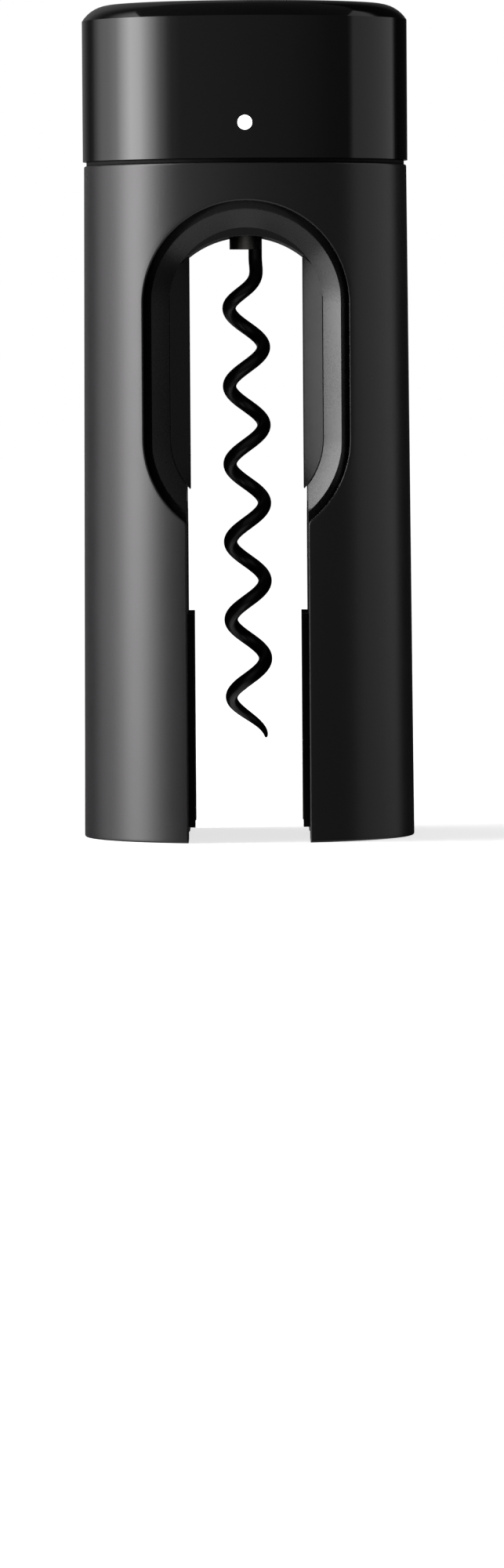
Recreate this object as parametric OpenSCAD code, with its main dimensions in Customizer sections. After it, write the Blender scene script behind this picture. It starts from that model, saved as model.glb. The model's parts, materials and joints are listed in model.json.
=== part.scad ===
// Electric wine opener.
// A tubular body with a keyhole window stands over the bottle's neck. A motor in the head turns
// the worm through three planetary stages, and a glossy cap with the start button closes the head.
// Origin: centre of the foot, on the surface it stands on. +Z is up, -Y is the front, +X the right.

/* [Overall] */
// Height from the foot to the top face
total_h = 140.7; // [117:0.1:170]
// Diameter of the body at the seam
body_d = 54.6; // [52:0.2:66]
// How much wider the foot is than the seam, from the mould's draft
foot_flare = 1.4; // [0:0.1:2]
// Height of the cap
cap_h = 26.4; // [26:0.1:32]
// How much wider the cap is than the body at the seam
cap_step = 0.4; // [0:0.1:1]
// Height of the shadow line between the cap and the body
seam_gap = 0.7; // [0.4:0.1:1.2]

/* [Body] */
// Wall of the outer sleeve at the seam
sleeve_wall = 2.3; // [1.6:0.1:2.8]
// Thickness of the foot plates that close the body from below
foot_t = 2; // [1.8:0.1:3]
// Thickness of the foot plates' rim, which holds the sleeve up
foot_rim_t = 1; // [0.8:0.1:1.4]
// How far the foot plates' rim reaches under the sleeve
foot_rim_w = 1.2; // [0.6:0.1:1.4]
// Width of the window
window_w = 34.5; // [30:0.5:41.5]
// Width of the ledge that the frame leaves round the window's edge
window_ledge = 1.3; // [0.4:0.1:1.6]
// Height between the centres of the window's round ends
window_run = 22.5; // [16:0.5:27]
// Width of the neck slot below the window
slot_w = 20.4; // [17:0.2:24.5]
// Width of the passage, where the window's flare ends
throat_w = 25.8; // [23:0.2:27]
// Depth of the flare, from the sleeve towards the middle
flare_depth = 2.6; // [2:0.1:6]
// Radius of the arched ceiling above the cork
arch_r = 15.4; // [13.5:0.1:19]
// How far the arched ceiling hangs below the top of the inner mouth
arch_drop = 1.3; // [0.5:0.1:2]
// Thickness of the deck between the window and the gearbox, where it is thinnest
deck_t = 3.2; // [1.2:0.1:4]
// How far the gearbox is sunk below the top of the body
gearbox_sink = 7.5; // [6.6:0.1:9]

/* [Bottle fit] */
// Diameter of the neck bore in the frame
neck_d = 32.4; // [30:0.2:36]
// Depth of the neck bore, from the foot to where the bottle's rim comes
neck_depth = 56.6; // [46:0.2:60]
// Height of the cone that guides the rim
seat_h = 1.9; // [1:0.1:3]
// Thickness of the neck pads
pad_t = 1.2; // [0.8:0.1:1.6]
// Height of the neck pads
pad_h = 36; // [30:1:44]
// How far the pads stand into the slot at each side
pad_lip = 1.1; // [0.5:0.1:2]
// Gap between the facing ribs of the cork grips
grip_gap = 19.2; // [17:0.2:21]
// Width of the cork grips, front to back
grip_w = 20; // [16:0.5:22]
// Depth of the grooves between the ribs of a cork grip
grip_groove = 1; // [0.4:0.1:1.4]
// How far back the slope at the front and back of a grip reaches
grip_lead = 2; // [1:0.1:4]

/* [Worm] */
// Diameter of the worm's wire
wire_d = 2.3; // [2:0.05:2.8]
// Outer diameter of the worm
worm_d = 8.1; // [7:0.1:10]
// Height that the worm climbs in one turn
worm_pitch = 13.2; // [10:0.1:16]
// Height over which the worm draws in to its root
worm_bend_h = 8.6; // [5:0.1:12]
// Height of the worm's tip above the foot
tip_z = 16.7; // [12:0.1:22]
// How far the worm's straight top stands off the axis
worm_root_x = 1.6; // [1:0.1:1.6]
// Diameter of the spindle
spindle_d = 5.5; // [5.5:0.1:7]
// How far the spindle shows below the arched ceiling
spindle_drop = 2.2; // [1:0.1:3]
// How deep the worm sits in the spindle
worm_socket = 4; // [3:0.1:5]

/* [Gearbox] */
// Gear module
gear_module = 0.5; // [0.4:0.05:0.6]
// Teeth of each sun gear
sun_teeth = 12; // [12:3:15]
// Teeth of each planet gear
planet_teeth = 18; // [18:3:21]
// Planets in each stage
planets = 3; // [3:1:3]
// Pressure angle of the teeth
pressure_angle = 25; // [20:1:25]
// How much thinner each tooth is than half a pitch, for running play
tooth_slack = 0.09; // [0.06:0.01:0.12]
// Face width of the output stage
output_face = 3.2; // [2.4:0.1:3.4]
// Face width of the second stage
second_face = 2; // [1.6:0.1:2.2]
// Face width of the first stage
first_face = 1.8; // [1.4:0.1:2]
// Wall of the gearbox case outside the ring gear
case_wall = 1.55; // [1.2:0.05:2.5]
// Diameter of the planet pins
pin_d = 1.8; // [1.4:0.1:2.2]

/* [Motor] */
// Diameter of the motor
motor_d = 24.4; // [20:0.1:24.4]
// Length of the motor without its bearing bosses
motor_l = 12.3; // [11.5:0.1:12.8]
// Diameter of the motor's shaft
motor_shaft_d = 2; // [1.5:0.1:2.3]

/* [Head] */
// Wall of the cap
cap_wall = 2.2; // [1.8:0.1:2.6]
// Thickness of the cap's top
cap_top_t = 2.4; // [2:0.1:3]
// Width of the cap's rounded shoulder, inwards
shoulder_w = 4.8; // [1:0.1:6]
// Height of the cap's rounded shoulder
shoulder_h = 2.7; // [1:0.1:4]
// Diameter of the start button
button_d = 17; // [12:0.5:18]
// Travel of the start button
button_travel = 0.6; // [0.3:0.05:0.8]
// Diameter of the status light
light_d = 2.4; // [1.8:0.1:3]
// Height of the status light above the seam's upper edge
light_rise = 5.9; // [4.6:0.1:7]
// Width of a battery pouch, front to back
battery_w = 29; // [20:0.5:29]
// Outer width of the charging socket
socket_w = 8.94; // [8.94:0.01:9.2]
// Outer height of the charging socket
socket_h = 3.26; // [3.1:0.01:3.4]
// Length of the charging socket
socket_l = 7.3; // [6.5:0.1:8]

/* [Fits] */
// Gap between fixed pieces that slip into each other
slip_gap = 0.1; // [0.05:0.01:0.2]
// Radial gap of running shafts, planets and the button
run_gap = 0.05; // [0.02:0.01:0.1]
// Radial gap round a pressed pin or a screw thread
press_gap = 0.02; // [0.01:0.01:0.05]
// End gap between parts that turn on different shafts
end_gap = 0.2; // [0.1:0.05:0.3]
// Diameter of the small screws
screw_d = 1.8; // [1.6:0.1:2]

/* [Hidden] */

$fn = 96;
// How far a cutting shape runs past the face that it cuts
over = 1;
// A length to the nearest thousandth, so that faces that meet share their numbers
function exact(x) = round(1000 * x) / 1000;

// Body and window
body_h = total_h - cap_h - seam_gap;
body_r = body_d / 2;
foot_r = body_r + foot_flare / 2;
bore_r = body_r - sleeve_wall;
frame_r = bore_r - slip_gap;
frame_z = foot_t;
foot_seat_t = 0.8;
foot_screw_l = 7;
frame_top_t = 1;
leg_pockets = 6;
leg_pocket_low = 12;
leg_pocket_w = 18;
leg_wall = 2.5;
leg_rib_t = 2;
screw_hole_l = 3.9;
screw_hole_end = 0.3;
frame_top_z = body_h - frame_top_t;
window_r = window_w / 2;
slot_r = slot_w / 2;
throat_r = throat_w / 2;
mouth_r = window_r - window_ledge;
mouth_y = exact(sqrt(bore_r * bore_r - mouth_r * mouth_r));
throat_y = mouth_y - flare_depth;

// Gearbox radii
ring_teeth = sun_teeth + 2 * planet_teeth;
flank_steps = 3;
orbit_r = gear_module * (sun_teeth + planet_teeth) / 2;
addendum = gear_module;
dedendum = 1.25 * gear_module;
ring_tip_r = gear_module * ring_teeth / 2 - addendum;
ring_root_r = gear_module * ring_teeth / 2 + dedendum;
case_r = ring_root_r + case_wall;
pocket_r = case_r + 2 * slip_gap;
carrier_r = ring_tip_r - 0.6;
spindle_r = spindle_d / 2;
bush_r = spindle_r + 1.25;
case_boss_r = bush_r + 1.2;
stub_r = 1;
pin_seat_t = 0.4;
stub_gap = 0.1;
pin_r = pin_d / 2;

// Half width of the window's cut at the distance y in front of the axis
function flare_r(y) = min(mouth_r, throat_r
    + (mouth_r - throat_r) * max(0, y - throat_y) / flare_depth);

// Heights of the window, which hangs below the gearbox
pocket_z = body_h - gearbox_sink;
window_high_z = exact(pocket_z - deck_t - flare_r(pocket_r));
window_low_z = window_high_z - window_run;
arch_top_z = window_high_z + throat_r - arch_drop;
arch_z = arch_top_z - arch_r;
spindle_z = arch_top_z - spindle_drop;

// Heights of the gearbox
case_floor_t = 1.2;
output_plate_t = 1.2;
second_plate_t = 1;
first_plate_t = 0.8;
lid_t = 1.2;
case_boss_z = pocket_z - 3.3;
clip_t = 0.5;
clip_depth = 0.3;
clip_z = case_boss_z - end_gap - clip_t;
case_floor_z = pocket_z + case_floor_t;
output_plate_z = case_floor_z + end_gap;
output_gear_z = output_plate_z + output_plate_t + end_gap;
second_plate_z = output_gear_z + output_face + end_gap;
second_gear_z = second_plate_z + second_plate_t + end_gap;
first_plate_z = second_gear_z + second_face + end_gap;
first_gear_z = first_plate_z + first_plate_t + end_gap;
lid_z = first_gear_z + first_face + 2 * end_gap;
case_flange_t = 1.2;
screw_head_r = screw_d * 0.94;
lug_r = screw_head_r + 0.2;
lug_orbit = case_r + screw_head_r + slip_gap;
flange_r = lug_orbit + lug_r;

// Motor
motor_z = lid_z + lid_t;
motor_r = motor_d / 2;
can_wall = 0.8;
end_cap_t = 1;
motor_boss_r = 3;
motor_boss_h = 1;
end_boss_h = 0.6;
motor_screw_orbit = 8.5;
end_cap_z = motor_z + motor_l - end_cap_t;
motor_top_z = motor_z + motor_l + end_boss_h;
shaft_r = motor_shaft_d / 2;
shaft_z = first_gear_z + 0.3;
shaft_top_z = motor_top_z - 0.5;
magnet_t = 2;
air_gap = 0.5;
rotor_r = motor_r - can_wall - magnet_t - air_gap;
rotor_z = motor_z + can_wall + 2.1;
rotor_l = 5;
winding_l = 1;
commutator_r = 2.6;
commutator_z = rotor_z + rotor_l + winding_l;

// Head
cap_r = body_r + cap_step / 2;
cap_z = body_h + seam_gap;
cap_in_r = cap_r - cap_wall;
ceiling_z = total_h - cap_top_t;
shoulder_steps = 8;
shoulder_sweep = min(90, 2 * atan(shoulder_h / shoulder_w));
shoulder_r = shoulder_w / sin(shoulder_sweep);
collar_step = 0.4;
spigot_r = cap_in_r - 2 * slip_gap;
spigot_in_r = spigot_r - 1.5;
spigot_top_z = cap_z + 3.9;
collar_r = body_r - collar_step;
chassis_in_r = flange_r + 0.4;
chassis_screw_orbit = (chassis_in_r + spigot_in_r) / 2 + 0.4;
standoff_h = 1.4;
board_t = 1.2;
board_z = cap_z + standoff_h;
board_top_z = board_z + board_t;
board_r = spigot_in_r - 0.2;
board_screw_orbit = max((chassis_in_r + board_r) / 2, chassis_in_r + lug_r);
bead_z = cap_z + 1.5;
bead_h = 0.8;
bead_t = 0.35;
light_z = cap_z + light_rise;
led_front_y = 0.3 - spigot_in_r;
cradle_in_x = case_r + 0.4;
battery_z = motor_z + end_gap;
battery_in_x = motor_r + 0.4;
battery_out_x = exact(sqrt(cap_in_r * cap_in_r - battery_w * battery_w / 4) - 0.4);
socket_z = board_top_z + socket_h / 2;
socket_y = cap_r - 0.9;

// Start button and its switch
switch_board_z = motor_top_z + 0.6;
switch_board_t = 1;
switch_z = switch_board_z + switch_board_t;
switch_w = 6.2;
switch_h = 1.8;
plunger_r = 1.7;
plunger_top_z = switch_z + switch_h + button_travel + slip_gap;
button_r = button_d / 2;
button_flange_t = 0.6;
button_flange_z = ceiling_z - slip_gap - button_flange_t;
switch_post_y = max(button_r + 1.1, motor_r) + 3.3;
switch_post_r = 2.2;
spring_r = switch_w * 0.9;
spring_wire_r = 0.25;
spring_turns = 3.5;

// Worm
worm_r = worm_d / 2 - wire_d / 2;
worm_straight_l = 1.35;
worm_bend_z = spindle_z - worm_straight_l - worm_bend_h;
worm_bend_k = 2 * worm_bend_h / worm_pitch;
worm_turns = (worm_bend_z - tip_z) / worm_pitch;
worm_rings = 20;
worm_sides = 10;
worm_point_l = 9;

// ---------------------------------------------------------------- helpers

// Upright cylinder between two heights
module rod(z0, z1, r) {
    translate([0, 0, z0]) cylinder(r = r, h = z1 - z0);
}

// Upright tube between two heights
module tube(z0, z1, r_out, r_in) {
    difference() {
        rod(z0, z1, r_out);
        rod(z0 - over, z1 + over, r_in);
    }
}

// Box between two corners
module box(low, high) {
    translate(low) cube(high - low);
}

// Cylinder or cone lying along Y at the height z, from y0 with radius r0 to y1 with radius r1
module bar_y(y0, y1, z, r0, r1) {
    translate([0, y1, z]) rotate([90, 0, 0]) cylinder(r1 = r1, r2 = r0, h = y1 - y0);
}

// n copies on a circle, the first at the angle start
module around(n, r, start = 0) {
    for (i = [0 : n - 1]) rotate([0, 0, start + 360 * i / n]) translate([r, 0, 0]) children();
}

// The same shape on the front and on the back
module front_and_back() {
    for (side = [0, 1]) mirror([0, side, 0]) children();
}

// Pan-head screw with its seat at the height z, pointing down
module screw(z, length, head_h = 1.1) {
    difference() {
        union() {
            rod(z - length, z, screw_d / 2);
            rod(z, z + head_h, screw_head_r);
        }
        rod(z + head_h * 0.4, z + head_h + over, screw_d * 0.3, $fn = 6);
    }
}

// Unit vector
function unit(v) = v / norm(v);

// Closed tube through the centres c with the radii r; u points roughly to the first side
module swept_tube(c, r, u, sides) {
    last = len(c) - 1;
    points = [for (i = [0 : last])
        let (t = unit(c[min(i + 1, last)] - c[max(i - 1, 0)]),
             a = unit(u[i] - t * (u[i] * t)),
             b = cross(t, a))
        for (k = [0 : sides - 1])
            c[i] + r[i] * (cos(360 * k / sides) * a + sin(360 * k / sides) * b)];
    walls = [for (i = [0 : last - 1], k = [0 : sides - 1])
        let (low = i * sides, high = low + sides, next = (k + 1) % sides)
        for (half = [0, 1])
            half == 0 ? [low + k, high + k, high + next] : [low + k, high + next, low + next]];
    ends = [[for (k = [0 : sides - 1]) k], [for (k = [sides - 1 : -1 : 0]) last * sides + k]];
    polyhedron(points, concat(walls, ends));
}

// ---------------------------------------------------------------- gear teeth

// Angle that an involute on the base circle rb has turned through at the radius r
function involute(rb, r) = r <= rb ? 0 : let (a = acos(rb / r)) tan(a) * 180 / PI - a;

// Half the angle of a tooth of n teeth at the radius r, thinned by slack
function half_tooth(n, r, slack) =
    let (pitch_r = n * gear_module / 2, rb = pitch_r * cos(pressure_angle))
    90 / n - slack / (2 * pitch_r) * 180 / PI + involute(rb, pitch_r) - involute(rb, r);

// Outline of a gear of n teeth between two radii, with a tooth centred on the X axis
function gear_outline(n, r_low, r_high, slack) = [
    for (i = [0 : n - 1], side = [-1, 1], k = [0 : flank_steps])
        let (s = (side < 0 ? k : flank_steps - k) / flank_steps,
             r = r_low + (r_high - r_low) * s,
             a = 360 * i / n + side * half_tooth(n, r, slack))
        [r * cos(a), r * sin(a)]];

module gear(n, z0, z1) {
    pitch_r = n * gear_module / 2;
    translate([0, 0, z0]) linear_extrude(z1 - z0)
        polygon(gear_outline(n, pitch_r - dedendum, pitch_r + addendum, tooth_slack));
}

// The hollow inside the ring gear, which has a tooth centred on the X axis
module ring_hollow(z0, z1) {
    translate([0, 0, z0]) linear_extrude(z1 - z0) rotate(180 / ring_teeth)
        polygon(gear_outline(ring_teeth, ring_tip_r, ring_root_r, -tooth_slack));
}

// Planet number i of a stage, with a gap between two teeth towards the sun
module planet(i, z, face) {
    color("dimgray") rotate([0, 0, 360 * i / planets]) translate([orbit_r, 0, 0]) difference() {
        rotate([0, 0, 180 / planet_teeth]) gear(planet_teeth, z, z + face);
        rod(z - over, z + face + over, pin_r + run_gap);
    }
}

// Pins that stand in blind holes of a carrier plate
module planet_pins(plate_z, z_top) {
    color("silver") around(planets, orbit_r) rod(plate_z + pin_seat_t, z_top, pin_r);
}

module pin_holes(plate_z, plate_top) {
    around(planets, orbit_r) rod(plate_z + pin_seat_t, plate_top + over, pin_r + press_gap);
}

// Carrier plate with pins above and a sun gear below, bored for the stub of the stage below
module carrier(plate_z, plate_t, sun_z, stub_top) {
    color("gray") difference() {
        union() {
            gear(sun_teeth, sun_z, plate_z);
            rod(plate_z, plate_z + plate_t, carrier_r);
            if (stub_top > 0) rod(plate_z + plate_t, stub_top, stub_r);
        }
        pin_holes(plate_z, plate_z + plate_t);
        rod(sun_z - over, plate_z + run_gap, stub_r + run_gap);
    }
}

// ---------------------------------------------------------------- body

// Straight part of the keyhole with ends of the radius r, between two distances from the axis
module keyhole(y0, y1, r) {
    for (z = [window_low_z, window_high_z]) bar_y(y0, y1, z, r, r);
    box([-r, y0, window_low_z], [r, y1, window_high_z]);
    box([-slot_r, y0, -over], [slot_r, y1, window_low_z]);
}

// Flare of the window, from the ledge in to the throat
module flare() {
    for (z = [window_low_z, window_high_z]) bar_y(-mouth_y, -throat_y, z, mouth_r, throat_r);
    translate([0, 0, window_low_z]) linear_extrude(window_run)
        polygon([[-throat_r, -throat_y], [-mouth_r, -mouth_y],
                 [mouth_r, -mouth_y], [throat_r, -throat_y]]);
}

// Passage through the middle, with the arched ceiling above the cork
module throat() {
    intersection() {
        union() {
            bar_y(-throat_y, throat_y, window_low_z, throat_r, throat_r);
            box([-throat_r, -throat_y, window_low_z], [throat_r, throat_y, arch_top_z + over]);
        }
        union() {
            bar_y(-throat_y, throat_y, arch_z, arch_r, arch_r);
            box([-arch_r, -throat_y, 0], [arch_r, throat_y, arch_z]);
        }
    }
}

module outer_sleeve() {
    reach = foot_r + over;
    color([0.13, 0.13, 0.13]) difference() {
        cylinder(r1 = foot_r, r2 = body_r, h = body_h);
        rod(-over, body_h + over, bore_r);
        rod(-over, foot_rim_t, bore_r + foot_rim_w);
        keyhole(-reach, reach, window_r);
    }
}

// Half rings under the legs; their rim holds the sleeve up, and screws hold them to the frame
module foot_plates() {
    reach = foot_r + over;
    color([0.09, 0.09, 0.09]) difference() {
        union() {
            rod(0, foot_rim_t, bore_r + foot_rim_w - slip_gap);
            rod(0, foot_t, frame_r);
        }
        rod(-over, foot_t + over, neck_d / 2);
        box([-slot_r, -reach, -over], [slot_r, reach, foot_t + over]);
        foot_screw_places() {
            rod(-over, foot_t + over, screw_d / 2 + slip_gap);
            rod(-over, foot_t - foot_seat_t, screw_head_r + slip_gap);
        }
    }
}

module foot_screw_places() {
    orbit = (neck_d / 2 + frame_r) / 2;
    for (a = [35, 145, 215, 325]) rotate([0, 0, a]) translate([orbit, 0, 0]) children();
}

module foot_screws() {
    color("silver") foot_screw_places() translate([0, 0, foot_t - foot_seat_t])
        mirror([0, 0, 1]) screw(0, foot_screw_l, 1);
}

// Ribbed pockets in the sides of the legs, behind the sleeve
module leg_pocket_cuts() {
    low = frame_z + leg_pocket_low;
    pitch = (window_high_z - low) / leg_pockets;
    for (side = [-1, 1], i = [0 : leg_pockets - 1])
        on_side(side) box([neck_d / 2 + leg_wall, -leg_pocket_w / 2, low + i * pitch],
            [frame_r + over, leg_pocket_w / 2, low + (i + 1) * pitch - leg_rib_t]);
}

// The right-hand shape for side 1, its mirror image for side -1
module on_side(side) {
    if (side > 0) children();
    else mirror([1, 0, 0]) children();
}

module inner_frame() {
    reach = frame_r + over;
    color([0.09, 0.09, 0.09]) difference() {
        rod(frame_z, frame_top_z, frame_r);
        front_and_back() {
            keyhole(-reach, -mouth_y, mouth_r);
            flare();
        }
        throat();
        box([-slot_r, -reach, -over], [slot_r, reach, window_low_z]);
        rod(-over, neck_depth, neck_d / 2);
        translate([0, 0, neck_depth]) cylinder(r1 = neck_d / 2, r2 = throat_r, h = seat_h);
        rod(pocket_z, frame_top_z + over, pocket_r);
        rod(arch_top_z - over, pocket_z + over, case_boss_r + slip_gap);
        leg_pocket_cuts();
        foot_screw_places()
            rod(0, foot_t - foot_seat_t + foot_screw_l + screw_hole_end, screw_d / 2 + press_gap);
        around(4, chassis_screw_orbit)
            rod(frame_top_z - screw_hole_l, frame_top_z + over, screw_d / 2 + press_gap);
        around(4, lug_orbit, 45)
            rod(frame_top_z - screw_hole_l, frame_top_z + over, screw_d / 2 + press_gap);
    }
}

// Ribbed liner that stops the cork from turning, on the right side
module cork_grip() {
    face = grip_gap / 2;
    half = grip_w / 2;
    step = (half - grip_lead) / 15;
    color([0.05, 0.05, 0.05]) intersection() {
        linear_extrude(arch_top_z) polygon([
            [throat_r, -half], [face, -15 * step], [face, -12 * step],
            [face + grip_groove, -8 * step], [face, -4 * step], [face, 4 * step],
            [face + grip_groove, 8 * step], [face, 12 * step], [face, 15 * step],
            [throat_r, half]]);
        throat();
    }
}

// Soft pad against the bottle's neck, on the right side
module neck_pad() {
    color([0.2, 0.12, 0.08]) intersection() {
        tube(frame_z, frame_z + pad_h, neck_d / 2, neck_d / 2 - pad_t);
        box([slot_r - pad_lip, -neck_d, 0], [neck_d, neck_d, body_h]);
    }
}

module right_cork_grip() { cork_grip(); }
module left_cork_grip() { mirror([1, 0, 0]) cork_grip(); }
module right_neck_pad() { neck_pad(); }
module left_neck_pad() { mirror([1, 0, 0]) neck_pad(); }

// ---------------------------------------------------------------- worm and spindle

// The angle eases off to a straight root above the bend, while the radius draws in
function ease(s) = worm_bend_k * s + (3 - 2 * worm_bend_k) * s * s + (worm_bend_k - 2) * s * s * s;
function blend(s) = s * s * (3 - 2 * s);

module worm() {
    full = ceil(worm_turns * worm_rings);
    bend = worm_rings / 2;
    root_z = spindle_z + worm_socket;
    steps = concat(
        [for (i = [0 : full]) let (s = i / full - 1)
            [180 + 360 * worm_turns * s, worm_r, worm_bend_z + worm_turns * worm_pitch * s]],
        [for (i = [1 : bend]) let (s = i / bend)
            [180 + 180 * ease(s), worm_r + (worm_root_x - worm_r) * blend(s),
             worm_bend_z + worm_bend_h * s]],
        [[360, worm_root_x, (worm_bend_z + worm_bend_h + root_z) / 2], [360, worm_root_x, root_z]]);
    centres = [for (p = steps) [p[1] * cos(p[0]), p[1] * sin(p[0]), p[2]]];
    sides = [for (p = steps) [cos(p[0]), sin(p[0]), 0]];
    radii = [for (p = steps)
        wire_d / 2 * min(1, 0.12 + 0.88 * sqrt((p[2] - tip_z) / worm_point_l))];
    color([0.04, 0.04, 0.04]) swept_tube(centres, radii, sides, worm_sides);
}

module output_spindle() {
    color("dimgray") difference() {
        union() {
            rod(spindle_z, output_plate_z, spindle_r);
            rod(output_plate_z, output_plate_z + output_plate_t, carrier_r);
            rod(output_plate_z + output_plate_t, second_plate_z - stub_gap, stub_r);
        }
        pin_holes(output_plate_z, output_plate_z + output_plate_t);
        translate([worm_root_x, 0, 0])
            rod(spindle_z - over, spindle_z + worm_socket, wire_d / 2 + press_gap);
        tube(clip_z, clip_z + clip_t, spindle_r + over, spindle_r - clip_depth);
    }
}

module spindle_clip() {
    gap = 2.2;
    out_r = spindle_r + 1.1;
    color("silver") difference() {
        tube(clip_z + press_gap, clip_z + clip_t, out_r, spindle_r - clip_depth + press_gap);
        box([0, -gap / 2, clip_z - over], [out_r + over, gap / 2, clip_z + clip_t + over]);
    }
}

module output_bush() {
    color("peru") tube(case_boss_z, case_floor_z, bush_r, spindle_r + run_gap);
}

module thrust_washer() {
    color("gold") tube(case_floor_z, case_floor_z + end_gap - run_gap, carrier_r - 2, bush_r + 0.4);
}

// ---------------------------------------------------------------- gearbox

// The lid's lugs stand in front and behind, clear of the batteries
module lid_lug_places() {
    for (a = [60, 120, 240, 300]) rotate([0, 0, a]) translate([lug_orbit, 0, 0]) children();
}

module gearbox_case() {
    color("gainsboro") difference() {
        union() {
            rod(pocket_z, lid_z, case_r);
            rod(case_boss_z, pocket_z, case_boss_r);
            rod(frame_top_z, frame_top_z + case_flange_t, case_r + 1);
            around(4, lug_orbit, 45) rod(frame_top_z, frame_top_z + case_flange_t, lug_r);
            lid_lug_places() rod(frame_top_z + case_flange_t + 0.6, lid_z, lug_r);
        }
        ring_hollow(case_floor_z, lid_z + over);
        rod(case_boss_z - over, case_floor_z + over, bush_r + press_gap);
        around(4, lug_orbit, 45)
            rod(frame_top_z - over, frame_top_z + 2, screw_d / 2 + slip_gap);
        lid_lug_places() rod(lid_z - 3.5, lid_z + over, screw_d / 2 + press_gap);
    }
}

module gearbox_screws() {
    color("silver") around(4, lug_orbit, 45)
        screw(frame_top_z + case_flange_t, case_flange_t + 3.6, 1);
}

module gearbox_lid() {
    color("lightsteelblue") difference() {
        union() {
            rod(lid_z, motor_z, case_r);
            lid_lug_places() rod(lid_z, motor_z, lug_r);
        }
        rod(lid_z - over, motor_z + over, max(motor_boss_r,
            gear_module * sun_teeth / 2 + addendum) + 2 * slip_gap);
        lid_lug_places() rod(lid_z - over, motor_z + over, screw_d / 2 + slip_gap);
        around(2, motor_screw_orbit, 90) {
            rod(lid_z - over, motor_z + over, screw_d / 2 + slip_gap);
            rod(lid_z - over, lid_z + 0.7, screw_head_r + slip_gap);
        }
    }
}

module lid_screws() {
    color("silver") lid_lug_places() screw(motor_z, lid_t + 3, 1);
}

module motor_screws() {
    color("silver") around(2, motor_screw_orbit, 90) translate([0, 0, lid_z + 0.7])
        mirror([0, 0, 1]) screw(0, lid_t - 0.7 + can_wall - 0.1, 0.6);
}

module output_planet_pins() { planet_pins(output_plate_z, second_plate_z - stub_gap); }
module second_planet_pins() { planet_pins(second_plate_z, first_plate_z - stub_gap); }
module first_planet_pins() { planet_pins(first_plate_z, lid_z - 3 * stub_gap); }
module second_carrier() {
    carrier(second_plate_z, second_plate_t, output_gear_z, first_plate_z - stub_gap);
}
module first_carrier() { carrier(first_plate_z, first_plate_t, second_gear_z, 0); }
module output_planet(i) { planet(i, output_gear_z, output_face); }
module second_planet(i) { planet(i, second_gear_z, second_face); }
module first_planet(i) { planet(i, first_gear_z, first_face); }

// ---------------------------------------------------------------- motor

module motor_pinion() {
    color("goldenrod") difference() {
        gear(sun_teeth, first_gear_z, lid_z - stub_gap);
        rod(shaft_z, lid_z + over, shaft_r + press_gap);
    }
}

module motor_shaft() {
    color("silver") {
        rod(shaft_z, shaft_top_z, shaft_r);
        rod(rotor_z - 1.3, rotor_z, shaft_r * 2);
    }
}

module motor_rotor() {
    poles = 3;
    slot = 1.6;
    color("slategray") difference() {
        rod(rotor_z, rotor_z + rotor_l, rotor_r);
        rod(rotor_z - over, rotor_z + rotor_l + over, shaft_r + press_gap);
        around(poles, 0) {
            box([rotor_r - 3, -slot / 2, rotor_z - over], [rotor_r + over, slot / 2, commutator_z]);
            translate([rotor_r - 3.4, 0, 0]) rod(rotor_z - over, commutator_z, 2);
        }
    }
}

module motor_windings() {
    color("chocolate") for (z = [rotor_z - winding_l, rotor_z + rotor_l])
        tube(z, z + winding_l, rotor_r - 0.9, shaft_r * 2 + 0.2);
}

module motor_commutator() {
    color("orange") difference() {
        union() {
            rod(commutator_z, commutator_z + 1.6, commutator_r);
            rod(commutator_z - winding_l, commutator_z, shaft_r * 2);
        }
        rod(commutator_z - 2 * winding_l, commutator_z + 3, shaft_r + press_gap);
    }
}

module motor_can() {
    color("silver") difference() {
        union() {
            rod(motor_z, end_cap_z, motor_r);
            rod(motor_z - motor_boss_h, motor_z, motor_boss_r);
        }
        rod(motor_z + can_wall, end_cap_z + over, motor_r - can_wall);
        rod(motor_z - 2 * motor_boss_h, motor_z + over, shaft_r + run_gap);
        around(2, motor_screw_orbit, 90)
            rod(motor_z - over, motor_z + can_wall + over, screw_d / 2 + press_gap);
    }
}

module motor_magnets() {
    z = motor_z + can_wall;
    r = motor_r - can_wall - press_gap;
    color([0.3, 0.3, 0.32]) for (side = [-1, 1]) on_side(side) intersection() {
        tube(z, z + rotor_l + 3.6, r, r - magnet_t + press_gap);
        box([motor_r * 0.35, -motor_r, z], [motor_r, motor_r, end_cap_z]);
    }
}

module motor_end_cap() {
    color("ivory") difference() {
        union() {
            rod(end_cap_z, end_cap_z + end_cap_t, motor_r);
            rod(end_cap_z + end_cap_t, motor_top_z, motor_boss_r);
        }
        rod(end_cap_z - over, shaft_top_z + 0.2, shaft_r + run_gap);
    }
}

module motor_brushes() {
    color("goldenrod") for (side = [-1, 1]) on_side(side)
        box([commutator_r + run_gap, -0.8, commutator_z + 0.2],
            [commutator_r + 0.8, 0.8, end_cap_z]);
}

// ---------------------------------------------------------------- head

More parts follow.
